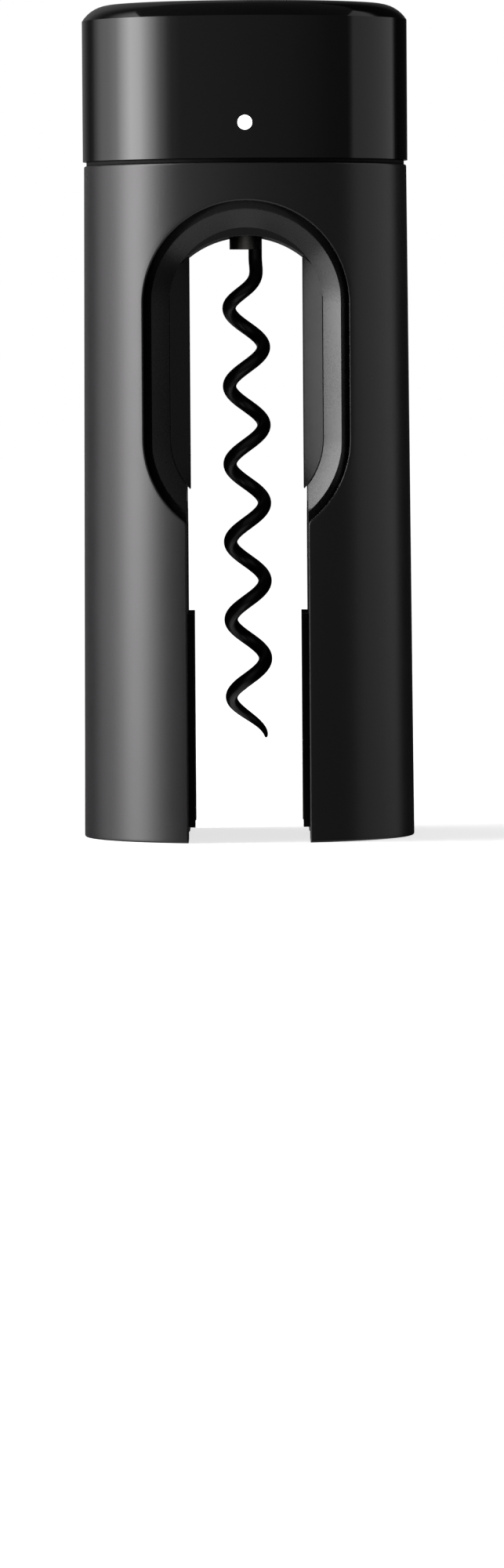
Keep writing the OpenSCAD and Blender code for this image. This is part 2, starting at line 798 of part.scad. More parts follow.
module head_chassis() {
    color([0.07, 0.07, 0.07]) difference() {
        union() {
            tube(frame_top_z, cap_z, bore_r - slip_gap, chassis_in_r);
            tube(body_h, cap_z, collar_r, chassis_in_r);
            tube(cap_z, spigot_top_z, spigot_r, spigot_in_r);
            around(4, board_screw_orbit, 45) rod(body_h, board_z, lug_r);
        }
        tube(bead_z - 0.1, bead_z + bead_h + 0.1, spigot_r + over, spigot_r - bead_t);
        box([-socket_w / 2 - 0.4, spigot_in_r / 2, socket_z - socket_h / 2 - 0.2],
            [socket_w / 2 + 0.4, cap_r, cap_z + cap_h]);
        around(4, chassis_screw_orbit)
            union() {
                rod(frame_top_z - over, cap_z + over, screw_d / 2 + slip_gap);
                rod(cap_z, spigot_top_z + over, screw_head_r + slip_gap);
            }
        around(4, board_screw_orbit, 45)
            union() {
                rod(frame_top_z + 0.2, board_z + over, screw_d / 2 + press_gap);
                rod(board_top_z, spigot_top_z + over, screw_head_r + slip_gap);
            }
    }
}

module chassis_screws() {
    color("silver") around(4, chassis_screw_orbit)
        screw(cap_z, cap_z - frame_top_z + 3.6, 1);
}

module control_board() {
    color("darkgreen") difference() {
        tube(board_z, board_top_z, board_r, chassis_in_r);
        around(4, board_screw_orbit, 45)
            rod(board_z - over, board_top_z + over, screw_d / 2 + slip_gap);
    }
}

module board_screws() {
    color("silver") around(4, board_screw_orbit, 45)
        screw(board_top_z, board_t + 2.4, 1);
}

module status_led() {
    color("whitesmoke") box([-1.5, led_front_y, board_top_z],
                            [1.5, led_front_y + 2, light_z + 1.2]);
}

module led_lens() {
    color("white") intersection() {
        bar_y(-cap_r - over, led_front_y, light_z, light_d / 2, light_d / 2);
        rod(cap_z, total_h, cap_r);
    }
}

// Round-ended bar along Y, as wide and as tall as a plug's mouth
module plug_bar(y0, y1, w, h) {
    for (side = [-1, 1]) translate([side * (w - h) / 2, 0, 0])
        bar_y(y0, y1, socket_z, h / 2, h / 2);
    box([-(w - h) / 2, y0, socket_z - h / 2], [(w - h) / 2, y1, socket_z + h / 2]);
}

module charge_socket() {
    shell = 0.32;
    y0 = socket_y - socket_l;
    color("silver") {
        difference() {
            plug_bar(y0, socket_y, socket_w, socket_h);
            plug_bar(y0 + 1.2, socket_y + over, socket_w - 2 * shell, socket_h - 2 * shell);
        }
        box([-3.1, y0 + 1, socket_z - 0.35], [3.1, socket_y - 0.8, socket_z + 0.35]);
    }
}

module battery() {
    color("lightslategray") box([battery_in_x, -battery_w / 2, battery_z],
                                [battery_out_x, battery_w / 2, ceiling_z - 1]);
}

// Shelf on the spigot's rim that a battery stands on, between two lips
module battery_cradle() {
    lip_y = battery_w / 2 + slip_gap;
    color("dimgray") intersection() {
        rod(cap_z, ceiling_z, spigot_r);
        union() {
            box([cradle_in_x, -lip_y - 1, spigot_top_z], [cap_r, lip_y + 1, battery_z]);
            front_and_back() box([cradle_in_x, lip_y, battery_z],
                                 [cap_r, lip_y + 1, battery_z + 5]);
        }
    }
}

module right_battery() { battery(); }
module left_battery() { mirror([1, 0, 0]) battery(); }
module right_battery_cradle() { battery_cradle(); }
module left_battery_cradle() { mirror([1, 0, 0]) battery_cradle(); }

module switch_board() {
    color("darkgreen") difference() {
        union() {
            rod(switch_board_z, switch_z, button_r + 1);
            box([-3, -switch_post_y - 2, switch_board_z], [3, switch_post_y + 2, switch_z]);
        }
        around(2, switch_post_y, 90)
            rod(switch_board_z - over, switch_z + over, screw_d / 2 + slip_gap);
    }
}

module switch_board_screws() {
    color("silver") around(2, switch_post_y, 90) translate([0, 0, switch_board_z])
        mirror([0, 0, 1]) screw(0, switch_board_t + 2.6, 1);
}

module start_switch() {
    half = switch_w / 2;
    color([0.15, 0.15, 0.16]) difference() {
        box([-half, -half, switch_z], [half, half, switch_z + switch_h]);
        rod(plunger_top_z - button_travel - 1.2, switch_z + switch_h + over, plunger_r + run_gap);
    }
}

module switch_plunger() {
    color("whitesmoke") rod(plunger_top_z - 1, plunger_top_z, plunger_r);
}

module button_spring() {
    low = switch_z + spring_wire_r;
    high = button_flange_z - spring_wire_r;
    rings = 16 * spring_turns;
    steps = [for (i = [0 : rings]) [360 * spring_turns * i / rings, low + (high - low) * i / rings]];
    color("silver") swept_tube(
        [for (p = steps) [spring_r * cos(p[0]), spring_r * sin(p[0]), p[1]]],
        [for (p = steps) spring_wire_r],
        [for (p = steps) [cos(p[0]), sin(p[0]), 0]], 8);
}

module start_button() {
    color([0.06, 0.06, 0.06]) {
        rod(button_flange_z, total_h, button_r);
        rod(button_flange_z, button_flange_z + button_flange_t, button_r + 1);
        rod(plunger_top_z, button_flange_z, plunger_r + 0.3);
    }
}

// Point of the cap's shoulder where it leans away from the top by the angle a
function shoulder_point(a) = [cap_r - shoulder_w + shoulder_r * sin(a),
                              total_h - shoulder_r * (1 - cos(a))];

module top_cap() {
    hole_r = button_r + 2 * run_gap;
    color([0.03, 0.03, 0.03]) difference() {
        union() {
            rotate_extrude() polygon(concat(
                [[cap_in_r, cap_z], [cap_r, cap_z]],
                [for (k = [shoulder_steps : -1 : 0])
                    shoulder_point(shoulder_sweep * k / shoulder_steps)],
                [[hole_r, total_h], [hole_r, ceiling_z], [cap_in_r, ceiling_z]]));
            rotate_extrude() polygon([
                [cap_in_r + 0.2, bead_z], [cap_in_r - bead_t, bead_z + bead_h / 2],
                [cap_in_r + 0.2, bead_z + bead_h]]);
            around(2, switch_post_y, 90) rod(switch_z, ceiling_z + 0.5, switch_post_r);
        }
        around(2, switch_post_y, 90)
            rod(switch_z - over, switch_z + 2.8, screw_d / 2 + press_gap);
        bar_y(-cap_r - over, -cap_in_r / 2, light_z,
            light_d / 2 + press_gap, light_d / 2 + press_gap);
        plug_bar(cap_in_r / 2, cap_r + over, socket_w + 2 * slip_gap, socket_h + 2 * slip_gap);
    }
}

// ---------------------------------------------------------------- nodes

outer_sleeve();
foot_plates();
inner_frame();
left_cork_grip();
right_cork_grip();
left_neck_pad();
right_neck_pad();
foot_screws();
worm();
output_spindle();
spindle_clip();
output_bush();
thrust_washer();
gearbox_case();
gearbox_lid();
gearbox_screws();
lid_screws();
output_planet_pins();
output_planet(0);  // output_planet_1
output_planet(1);  // output_planet_2
output_planet(2);  // output_planet_3
second_carrier();
second_planet_pins();
second_planet(0);  // second_planet_1
second_planet(1);  // second_planet_2
second_planet(2);  // second_planet_3
first_carrier();
first_planet_pins();
first_planet(0);  // first_planet_1
first_planet(1);  // first_planet_2
first_planet(2);  // first_planet_3
motor_pinion();
motor_shaft();
motor_rotor();
motor_windings();
motor_commutator();
motor_can();
motor_magnets();
motor_end_cap();
motor_brushes();
motor_screws();
head_chassis();
chassis_screws();
control_board();
board_screws();
status_led();
led_lens();
charge_socket();
left_battery();
right_battery();
left_battery_cradle();
right_battery_cradle();
switch_board();
switch_board_screws();
start_switch();
switch_plunger();
button_spring();
start_button();
top_cap();
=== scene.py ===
"""Electric corkscrew: the visible pieces, their finishes and the studio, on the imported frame."""
import json
import math

import bmesh
import bpy
import numpy as np
from bpy.props import FloatProperty, IntProperty, PointerProperty, StringProperty
from mathutils import Matrix, Vector


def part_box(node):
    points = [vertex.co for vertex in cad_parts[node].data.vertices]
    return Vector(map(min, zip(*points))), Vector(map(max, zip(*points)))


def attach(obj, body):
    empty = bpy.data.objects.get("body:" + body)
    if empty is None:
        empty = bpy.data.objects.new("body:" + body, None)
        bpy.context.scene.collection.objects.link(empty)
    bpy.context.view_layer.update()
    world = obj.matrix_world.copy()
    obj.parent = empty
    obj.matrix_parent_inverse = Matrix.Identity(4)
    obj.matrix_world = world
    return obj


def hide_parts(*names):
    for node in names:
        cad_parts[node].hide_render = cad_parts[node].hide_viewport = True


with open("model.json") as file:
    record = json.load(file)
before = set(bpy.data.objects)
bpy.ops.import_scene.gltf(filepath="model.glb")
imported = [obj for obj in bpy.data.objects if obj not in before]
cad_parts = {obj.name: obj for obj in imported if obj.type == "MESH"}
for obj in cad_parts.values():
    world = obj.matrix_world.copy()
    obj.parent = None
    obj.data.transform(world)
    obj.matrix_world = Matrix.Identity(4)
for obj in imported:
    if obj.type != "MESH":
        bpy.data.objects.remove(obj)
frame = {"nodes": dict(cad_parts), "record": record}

bl_info = {
    "name": "Electric Corkscrew",
    "version": (1, 0, 0),
    "blender": (4, 5, 0),
    "location": "View3D > Sidebar > Corkscrew",
    "description": "Builds the corkscrew's body, worm, head, finishes and studio",
    "category": "Add Mesh",
}

MM = 0.001
# Points nearer than this, in metres, become one.
WELD = 1e-7
# Edges flatter than this angle, in degrees, are joined in the merged copies.
FLAT_ANGLE = 0.2
# Power that crowds the worm's rings towards its tip, and the tip's share of the wire's radius.
CROWDING = 1.15
TIP_SHARE = 0.12
# Heights in millimetres of the rows that bend round the sleeve's lower rim, and of the first
# of the even rows above them.
RIM_ROWS = (0.0, 0.04, 0.1, 0.18, 0.28, 0.4, 0.7)
FIRST_ROW = 1.6
# Height in millimetres below which the sleeve's rows stay level, so that the foot is square.
LEVEL_BELOW = 5.0
# Points of the upper arc whose rows end on the sleeve's top rim.
TOP_POINTS = 25
# Shares of the way from the keyhole's edge to the wall's border, crowded at the border.
WALL_SHARES = np.concatenate([np.linspace(0, 0.88, 30), [0.915, 0.942, 0.962, 0.978, 0.991, 1.0]])
# Steps of the quarter rounds that the edges of merged copies get.
EDGE_STEPS = 3
# Size in millimetres of the slow, broad variation in every finish.
BROAD_GRAIN = 9
# Radius in metres and sides of the studio floor.
FLOOR_RADIUS = 6.0
FLOOR_SIDES = 96
SLEEVE_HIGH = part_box("outer_sleeve")[1]
WORM_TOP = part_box("worm")[1].z


# ---------------------------------------------------------------- settings

class SleeveSizes(bpy.types.PropertyGroup):
    """Sizes of the outer sleeve and of the keyhole cut through it"""
    top_radius: FloatProperty(
        name="Top radius", description="Outer radius at the top of the sleeve",
        default=27.3 * MM, unit="LENGTH")
    bore_radius: FloatProperty(
        name="Bore radius", description="Inner radius of the sleeve",
        default=25.0 * MM, unit="LENGTH")
    rebate_radius: FloatProperty(
        name="Rebate radius", description="Inner radius at the foot, where the foot plates sit",
        default=26.2 * MM, unit="LENGTH")
    rebate_height: FloatProperty(
        name="Rebate height", description="Height of the rebate at the foot",
        default=1.0 * MM, unit="LENGTH")
    window_radius: FloatProperty(
        name="Window radius", description="Radius of the window's round ends",
        default=17.25 * MM, unit="LENGTH")
    window_low: FloatProperty(
        name="Lower centre", description="Height of the centre of the window's lower end",
        default=67.5 * MM, unit="LENGTH")
    window_high: FloatProperty(
        name="Upper centre", description="Height of the centre of the window's upper end",
        default=90.0 * MM, unit="LENGTH")
    slot_half: FloatProperty(
        name="Slot half width", description="Half the width of the slot under the window",
        default=10.2 * MM, unit="LENGTH")
    shoulder: FloatProperty(
        name="Shoulder fillet", description="Fillet where the slot meets the window",
        default=1.5 * MM, unit="LENGTH")
    roll: FloatProperty(
        name="Edge roll", description="Radius of the rolled edge round the keyhole",
        default=0.35 * MM, unit="LENGTH")
    rim: FloatProperty(
        name="Rim round", description="Radius of the round on the top and bottom rims",
        default=0.35 * MM, unit="LENGTH")


class WormSizes(bpy.types.PropertyGroup):
    """Sizes of the wire worm"""
    wire_radius: FloatProperty(
        name="Wire radius", description="Radius of the coated wire",
        default=1.15 * MM, unit="LENGTH")
    coil_radius: FloatProperty(
        name="Coil radius", description="Radius of the coil at the middle of the wire",
        default=2.9 * MM, unit="LENGTH")
    pitch: FloatProperty(
        name="Pitch", description="Height of one turn", default=13.2 * MM, unit="LENGTH")
    tip_height: FloatProperty(
        name="Tip height", description="Height of the tip above the foot",
        default=16.7 * MM, unit="LENGTH")
    bend_height: FloatProperty(
        name="Bend height", description="Height where the coil starts to turn in",
        default=89.45 * MM, unit="LENGTH")
    bend_rise: FloatProperty(
        name="Bend rise", description="Height over which the worm draws in to its root",
        default=8.6 * MM, unit="LENGTH")
    root_offset: FloatProperty(
        name="Root offset", description="Distance of the root from the axis",
        default=1.6 * MM, unit="LENGTH")
    point_length: FloatProperty(
        name="Point length", description="Length of the ground point",
        default=9.0 * MM, unit="LENGTH")
    rings: IntProperty(
        name="Rings per turn", description="Rings of points along one turn", default=56)
    sides: IntProperty(name="Sides", description="Points round the wire", default=28)


class EdgeSizes(bpy.types.PropertyGroup):
    """Rounds on the edges of moulded and turned pieces"""
    cap: FloatProperty(
        name="Cap edges", description="Round on the cap's corner and rim",
        default=0.6 * MM, unit="LENGTH")
    frame: FloatProperty(
        name="Frame edges", description="Round on the edges of the inner frame",
        default=0.3 * MM, unit="LENGTH")
    small: FloatProperty(
        name="Small edges", description="Round on the edges of small pieces",
        default=0.12 * MM, unit="LENGTH")


class Colours(bpy.types.PropertyGroup):
    """Colours of the pieces that show, as sRGB hex values"""
    sleeve: StringProperty(name="Sleeve", description="Satin sleeve", default="#2d2c2d")
    cap: StringProperty(name="Cap", description="Gloss cap and button", default="#0b0a0a")
    frame: StringProperty(name="Frame", description="Inner frame", default="#151414")
    grip: StringProperty(name="Grips", description="Ribbed cork grips", default="#0f0f0f")
    pad: StringProperty(name="Pads", description="Soft neck pads", default="#1b1b1b")
    worm: StringProperty(name="Worm", description="Non-stick coating", default="#131212")
    lens: StringProperty(name="Light", description="Status light", default="#ffffff")
    floor: StringProperty(name="Floor", description="Studio floor", default="#f4f4f4")


class StudioSizes(bpy.types.PropertyGroup):
    """Camera and light"""
    distance: FloatProperty(
        name="Camera distance", description="Distance from the axis",
        default=1.56, unit="LENGTH")
    eye_height: FloatProperty(
        name="Eye height", description="Height of the camera", default=0.0807, unit="LENGTH")
    aim_height: FloatProperty(
        name="Aim height", description="Height that the camera looks at",
        default=0.0087, unit="LENGTH")
    aim_side: FloatProperty(
        name="Aim side", description="How far right of the axis the camera looks",
        default=0.00045, unit="LENGTH")
    roll: FloatProperty(
        name="Camera roll", description="Turn of the camera about its line of sight",
        default=math.radians(-0.39), unit="ROTATION")
    lens: FloatProperty(
        name="Lens", description="Focal length in millimetres", default=211.0)
    tent_radius: FloatProperty(
        name="Tent radius", description="Radius of the ring of soft lights",
        default=0.9, unit="LENGTH")
    tent_power: FloatProperty(
        name="Tent power", description="Brightness of the brightest soft light", default=8.0)


class CorkscrewSettings(bpy.types.PropertyGroup):
    """Everything that can be set"""
    sleeve: PointerProperty(type=SleeveSizes)
    worm: PointerProperty(type=WormSizes)
    edges: PointerProperty(type=EdgeSizes)
    colours: PointerProperty(type=Colours)
    studio: PointerProperty(type=StudioSizes)


# ---------------------------------------------------------------- surfaces

def weld(points, faces):
    """Points closer than the weld distance become one; faces that lose their area are dropped."""
    keys = np.round(points / WELD).astype(np.int64)
    _, first, place = np.unique(keys, axis=0, return_index=True, return_inverse=True)
    place = place.reshape(-1)
    kept = []
    for face in faces:
        corners = place[np.asarray(face)]
        if corners.ndim == 1:
            corners = corners[None, :]
        same = corners == np.roll(corners, 1, axis=1)
        if corners.shape[1] <= 4:
            whole = same.sum(axis=1) == 0
            kept.extend(corners[whole].tolist())
            for row in corners[same.sum(axis=1) == 1]:
                thinned = row[row != np.roll(row, 1)]
                if len(thinned) >= 3:
                    kept.append(thinned.tolist())
        else:
            row = corners[0]
            kept.append(row[row != np.roll(row, 1)].tolist())
    return points[first], kept


def grid_faces(rows, columns, offset=0):
    """Quads between the neighbouring points of a grid that is stored row by row."""
    index = np.arange(rows * columns).reshape(rows, columns) + offset
    return np.stack([index[:-1, :-1], index[:-1, 1:], index[1:, 1:], index[1:, :-1]],
                    axis=-1).reshape(-1, 4)


def arc(start, stop, count):
    """Angles in radians from start to stop in degrees, both ends included."""
    return np.radians(np.linspace(start, stop, count))


def keyhole_edge(s):
    """Right half of the keyhole outline from the foot to the top, with the direction into the
    wall and the height of the matching point on the wall's border.

    The outline is the slot's straight edge, a fillet, the lower arc, the window's straight side
    and the upper arc. The fillet's centre lies one fillet radius from the slot's edge and one
    fillet radius outside the lower arc.
    """
    f, slot, big = s.shoulder, s.slot_half, s.window_radius
    fillet_x = slot + f
    fillet_z = s.window_low - math.sqrt((big + f) ** 2 - fillet_x ** 2)
    meet = math.degrees(math.asin((s.window_low - fillet_z) / (big + f)))
    low = np.array(RIM_ROWS) * MM
    slot_z = np.concatenate([low, [s.rebate_height, s.rebate_height],
                             np.linspace(FIRST_ROW * MM, fillet_z, 44)])
    turn = arc(180, 180 - meet, 10)[1:]
    lower = arc(-meet, 0, 22)[1:]
    side_z = np.linspace(s.window_low, s.window_high, 20)[1:]
    upper = np.concatenate([arc(0, 43, 20)[1:], np.radians([43.8, 44.4, 44.75, 45.0]),
                            arc(45, 90, TOP_POINTS + 1)[1:]])
    x = np.concatenate([np.full(slot_z.size, slot), fillet_x + f * np.cos(turn),
                        big * np.cos(lower), np.full(side_z.size, big), big * np.cos(upper)])
    z = np.concatenate([slot_z, fillet_z + f * np.sin(turn), s.window_low + big * np.sin(lower),
                        side_z, s.window_high + big * np.sin(upper)])
    nx = np.concatenate([np.ones(slot_z.size), -np.cos(turn), np.cos(lower),
                         np.ones(side_z.size), np.cos(upper)])
    nz = np.concatenate([np.zeros(slot_z.size), -np.sin(turn), np.sin(lower),
                         np.zeros(side_z.size), np.sin(upper)])
    on_top = np.zeros(x.size, bool)
    on_top[-TOP_POINTS:] = True
    return x, z, nx, nz, on_top, low.size


def sleeve_surface(s, high):
    """One quarter of the sleeve as a grid across its wall, copied to the other three quarters.

    Columns follow the keyhole outline. Rows run from the wall's border along the tapered outer
    cone to the edge roll, a quarter circle, then straight back to the bore, and along the bore
    to the border again. A point is at x, z and minus the root of radius squared less x squared.
    """
    foot, tall = high.x, high.z
    x, z, nx, nz, on_top, low_count = keyhole_edge(s)
    corner = int(np.argmax(on_top)) - 1
    level = LEVEL_BELOW * MM
    climb = np.clip((z - level) / (z[corner] - level), 0, 1)
    border_z = z + (tall - z[corner]) * climb ** 2 * (3 - 2 * climb)
    border_a = np.full(x.size, math.pi / 2)
    border_z[on_top] = tall
    border_a[on_top] = np.linspace(math.pi / 2, 0, on_top.sum() + 1)[1:]
    border_z[corner] = tall

    def outer_radius(height):
        """The cone's radius, less the quarter rounds on the two rims."""
        cone = foot + (s.top_radius - foot) * height / tall
        near = np.minimum(height, tall - height)
        depth = np.clip((s.rim - near) / s.rim, 0, 1)
        return cone - s.rim * (1 - np.sqrt(1 - depth ** 2))

    rows = []

    def wall(radius_at, edge_x, edge_z, shares):
        """Rows between the edge and the border, evenly in angle and height."""
        edge_a = np.arcsin(edge_x / radius_at(edge_z))
        for w in shares:
            height = edge_z + (border_z - edge_z) * w
            angle = edge_a + (border_a - edge_a) * w
            radius = radius_at(height)
            across = radius * np.sin(angle)
            rows.append((across, -radius * np.cos(angle), height))

    wall(outer_radius, x + nx * s.roll, z + nz * s.roll, WALL_SHARES[::-1])
    for turn in arc(0, 90, 9)[1:]:
        edge_x = x + nx * s.roll * (1 - math.sin(turn))
        edge_z = z + nz * s.roll * (1 - math.sin(turn))
        radius = outer_radius(edge_z) - s.roll * (1 - math.cos(turn))
        rows.append((edge_x, -np.sqrt(radius ** 2 - edge_x ** 2), edge_z))
    bore = np.full(x.size, s.bore_radius)
    bore[:low_count + 1] = s.rebate_radius
    rows.append((x, -np.sqrt(bore ** 2 - x ** 2), z))
    wall(lambda height: bore, x, z, WALL_SHARES[1:])
    points = np.stack([np.stack(row, axis=-1) for row in rows])
    count, columns = points.shape[:2]
    flat = points.reshape(-1, 3)
    flat[np.abs(flat) < 1e-9] = 0
    index = np.arange(count * columns).reshape(count, columns)
    top = np.flatnonzero(on_top)
    top = np.concatenate([[top[0] - 1], top])
    rim = np.stack([index[-1, top[:-1]], index[-1, top[1:]], index[0, top[1:]],
                    index[0, top[:-1]]], axis=-1)
    ends = WALL_SHARES.size
    foot_strip = np.stack([index[:ends - 1, 0], index[1:ends, 0],
                           index[::-1, 0][1:ends], index[::-1, 0][:ends - 1]], axis=-1)
    foot_lip = index[ends - 1:count - ends + 1, 0][::-1]
    quarter = [grid_faces(count, columns), rim, foot_strip, foot_lip]

    all_points, all_faces = [], []
    for flip_x, flip_y in ((1, 1), (-1, 1), (1, -1), (-1, -1)):
        offset = len(flat) * len(all_points)
        all_points.append(flat * np.array([flip_x, flip_y, 1.0]))
        for block in quarter:
            turned = block + offset
            all_faces.append(turned[..., ::-1] if flip_x * flip_y < 0 else turned)
    return weld(np.concatenate(all_points), split_blocks(all_faces))


def split_blocks(blocks):
    """Face blocks in which each single outline stands as a row of its own."""
    return [block if block.ndim == 2 else block[None, :] for block in blocks]


def worm_surface(w, root_z):
    """A tube of round sections along the worm's centre line, closed at both ends.

    The centre line is a helix of constant pitch, then half a turn in which the coil radius blends
    to the root's offset and the angle eases by a cubic from the helix's rate to a stop, then a
    straight root. A section lies in the plane of the outward direction and the line's normal to
    it. The wire's radius grows with the square root of the height above the tip.
    """
    turns = (w.bend_height - w.tip_height) / w.pitch
    s = np.linspace(0, 1, int(turns * w.rings)) ** CROWDING - 1
    second = np.linspace(0, 1, w.rings // 2 + 1)[1:]
    third = np.linspace(0, 1, 6)[1:]
    bend_top = w.bend_height + w.bend_rise
    k = 2 * w.bend_rise / w.pitch
    angle = np.concatenate([180 + 360 * turns * s,
                            180 + 180 * (k * second + (3 - 2 * k) * second ** 2
                                         + (k - 2) * second ** 3),
                            np.full(third.size, 360.0)])
    ease = second * second * (3 - 2 * second)
    coil = np.concatenate([np.full(s.size, w.coil_radius),
                           w.coil_radius + (w.root_offset - w.coil_radius) * ease,
                           np.full(third.size, w.root_offset)])
    height = np.concatenate([w.bend_height + turns * w.pitch * s,
                             w.bend_height + w.bend_rise * second,
                             bend_top + (root_z - bend_top) * third])
    angle = np.radians(angle)
    centre = np.stack([coil * np.cos(angle), coil * np.sin(angle), height], axis=-1)
    along = np.gradient(centre, axis=0)
    along /= np.linalg.norm(along, axis=1)[:, None]
    out = np.stack([np.cos(angle), np.sin(angle), np.zeros_like(angle)], axis=-1)
    out -= along * (out * along).sum(axis=1)[:, None]
    out /= np.linalg.norm(out, axis=1)[:, None]
    side = np.cross(along, out)
    grown = np.sqrt(np.clip((height - w.tip_height) / w.point_length, 0, None))
    radius = w.wire_radius * np.minimum(1, TIP_SHARE + (1 - TIP_SHARE) * grown)
    around = np.linspace(0, 2 * math.pi, w.sides + 1)
    ring = (out[:, None, :] * np.cos(around)[None, :, None]
            + side[:, None, :] * np.sin(around)[None, :, None])
    tube = centre[:, None, :] + ring * radius[:, None, None]
    tip = np.repeat(centre[:1, None, :], w.sides + 1, axis=1)
    root = np.repeat(centre[-1:, None, :], w.sides + 1, axis=1)
    points = np.concatenate([tip, tube, root])
    faces = grid_faces(points.shape[0], points.shape[1])[:, ::-1]
    return weld(points.reshape(-1, 3), [faces])


def piece(name, points, faces, body, material, nodes, angle=35):
    """A mesh object from points and faces, smooth up to an angle, on its body."""
    mesh = bpy.data.meshes.new(name)
    mesh.from_pydata(points.tolist(), [], faces)
    return dress(name, mesh, body, material, nodes, angle)


def dress(name, mesh, body, material, nodes, angle=35):
    """Links a mesh as a piece that stands for CAD nodes and takes one finish."""
    build = bmesh.new()
    build.from_mesh(mesh)
    bmesh.ops.recalc_face_normals(build, faces=build.faces)
    build.to_mesh(mesh)
    build.free()
    mesh.shade_smooth()
    mesh.set_sharp_from_angle(angle=math.radians(angle))
    mesh.materials.clear()
    mesh.materials.append(material)
    obj = bpy.data.objects.new(name, mesh)
    bpy.context.scene.collection.objects.link(obj)
    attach(obj, body)
    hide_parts(*nodes)
    return obj


def eased_copy(name, node, body, material, edge, angle=30):
    """A merged copy of a CAD node with its flat faces joined and its sharp edges rounded."""
    source = frame["nodes"][node].data
    mesh = bpy.data.meshes.new(name)
    build = bmesh.new()
    build.from_mesh(source)
    bmesh.ops.remove_doubles(build, verts=build.verts, dist=2 * WELD)
    bmesh.ops.dissolve_limit(build, angle_limit=math.radians(FLAT_ANGLE), verts=build.verts,
                             edges=build.edges)
    build.to_mesh(mesh)
    build.free()
    obj = dress(name, mesh, body, material, [node], angle)
    bevel = obj.modifiers.new("Edge round", "BEVEL")
    bevel.width = edge
    bevel.segments = EDGE_STEPS
    bevel.limit_method = "ANGLE"
    bevel.angle_limit = math.radians(angle)
    bevel.use_clamp_overlap = True
    weights = obj.modifiers.new("Face weights", "WEIGHTED_NORMAL")
    weights.mode = "FACE_AREA"
    weights.keep_sharp = True
    return obj


# ---------------------------------------------------------------- finishes

def linear(hex_value):
    """Linear colour with alpha from an sRGB hex value."""
    parts = [int(hex_value.lstrip("#")[i:i + 2], 16) / 255 for i in (0, 2, 4)]
    return [p / 12.92 if p <= 0.04045 else ((p + 0.055) / 1.055) ** 2.4 for p in parts] + [1.0]


def add(tree, kind, values=None, **settings):
    """A node of a kind, with settings by name and inputs by name or number: a value or a link."""
    made = tree.nodes.new(kind)
    for key, value in settings.items():
        setattr(made, key, value)
    for key, value in (values or {}).items():
        if isinstance(value, bpy.types.NodeSocket):
            tree.links.new(value, made.inputs[key])
        else:
            made.inputs[key].default_value = value
    return made


def finish(name, dark, light, rough, grain, relief, metallic=0.0, ior=1.5, stretch=(1, 1, 1),
           coat=0.0, sheen=0.0, glow=0.0):
    """One physically based finish.

    Fine noise at the real grain size, in millimetres, moves the colour between dark and light,
    the roughness between its two ends, and the surface by the relief, in millimetres. Stretch
    below 1 draws the grain out along that axis.
    """
    made = bpy.data.materials.new(name)
    made.use_nodes = True
    tree = made.node_tree
    tree.nodes.clear()
    where = add(tree, "ShaderNodeTexCoord")
    laid = add(tree, "ShaderNodeMapping",
               {"Vector": where.outputs["Object"], "Scale": stretch})
    fine = add(tree, "ShaderNodeTexNoise",
               {"Vector": laid.outputs["Vector"], "Scale": 1 / (grain * MM), "Detail": 3.0,
                "Roughness": 0.6})
    broad = add(tree, "ShaderNodeTexNoise",
                {"Vector": where.outputs["Object"], "Scale": 1 / (BROAD_GRAIN * MM), "Detail": 2.0})
    both = add(tree, "ShaderNodeMath",
               {0: fine.outputs["Fac"], 1: broad.outputs["Fac"]}, operation="ADD")
    half = add(tree, "ShaderNodeMath", {0: both.outputs[0], 1: 0.5}, operation="MULTIPLY")
    colour = add(tree, "ShaderNodeMix",
                 {"Factor": half.outputs[0]}, data_type="RGBA")
    colour.inputs[6].default_value = linear(dark)
    colour.inputs[7].default_value = linear(light)
    smooth = add(tree, "ShaderNodeMapRange",
                 {"Value": half.outputs[0], "From Min": 0.3, "From Max": 0.7,
                  "To Min": rough[0], "To Max": rough[1]})
    bump = add(tree, "ShaderNodeBump",
               {"Height": fine.outputs["Fac"], "Distance": relief * MM, "Strength": 1.0})
    shader = add(tree, "ShaderNodeBsdfPrincipled",
                 {"Base Color": colour.outputs[2], "Roughness": smooth.outputs["Result"],
                  "Normal": bump.outputs["Normal"], "Metallic": metallic, "IOR": ior,
                  "Coat Weight": coat, "Sheen Weight": sheen})
    if glow:
        shader.inputs["Emission Color"].default_value = linear(light)
        shader.inputs["Emission Strength"].default_value = glow
    add(tree, "ShaderNodeOutputMaterial", {"Surface": shader.outputs["BSDF"]})
    return made


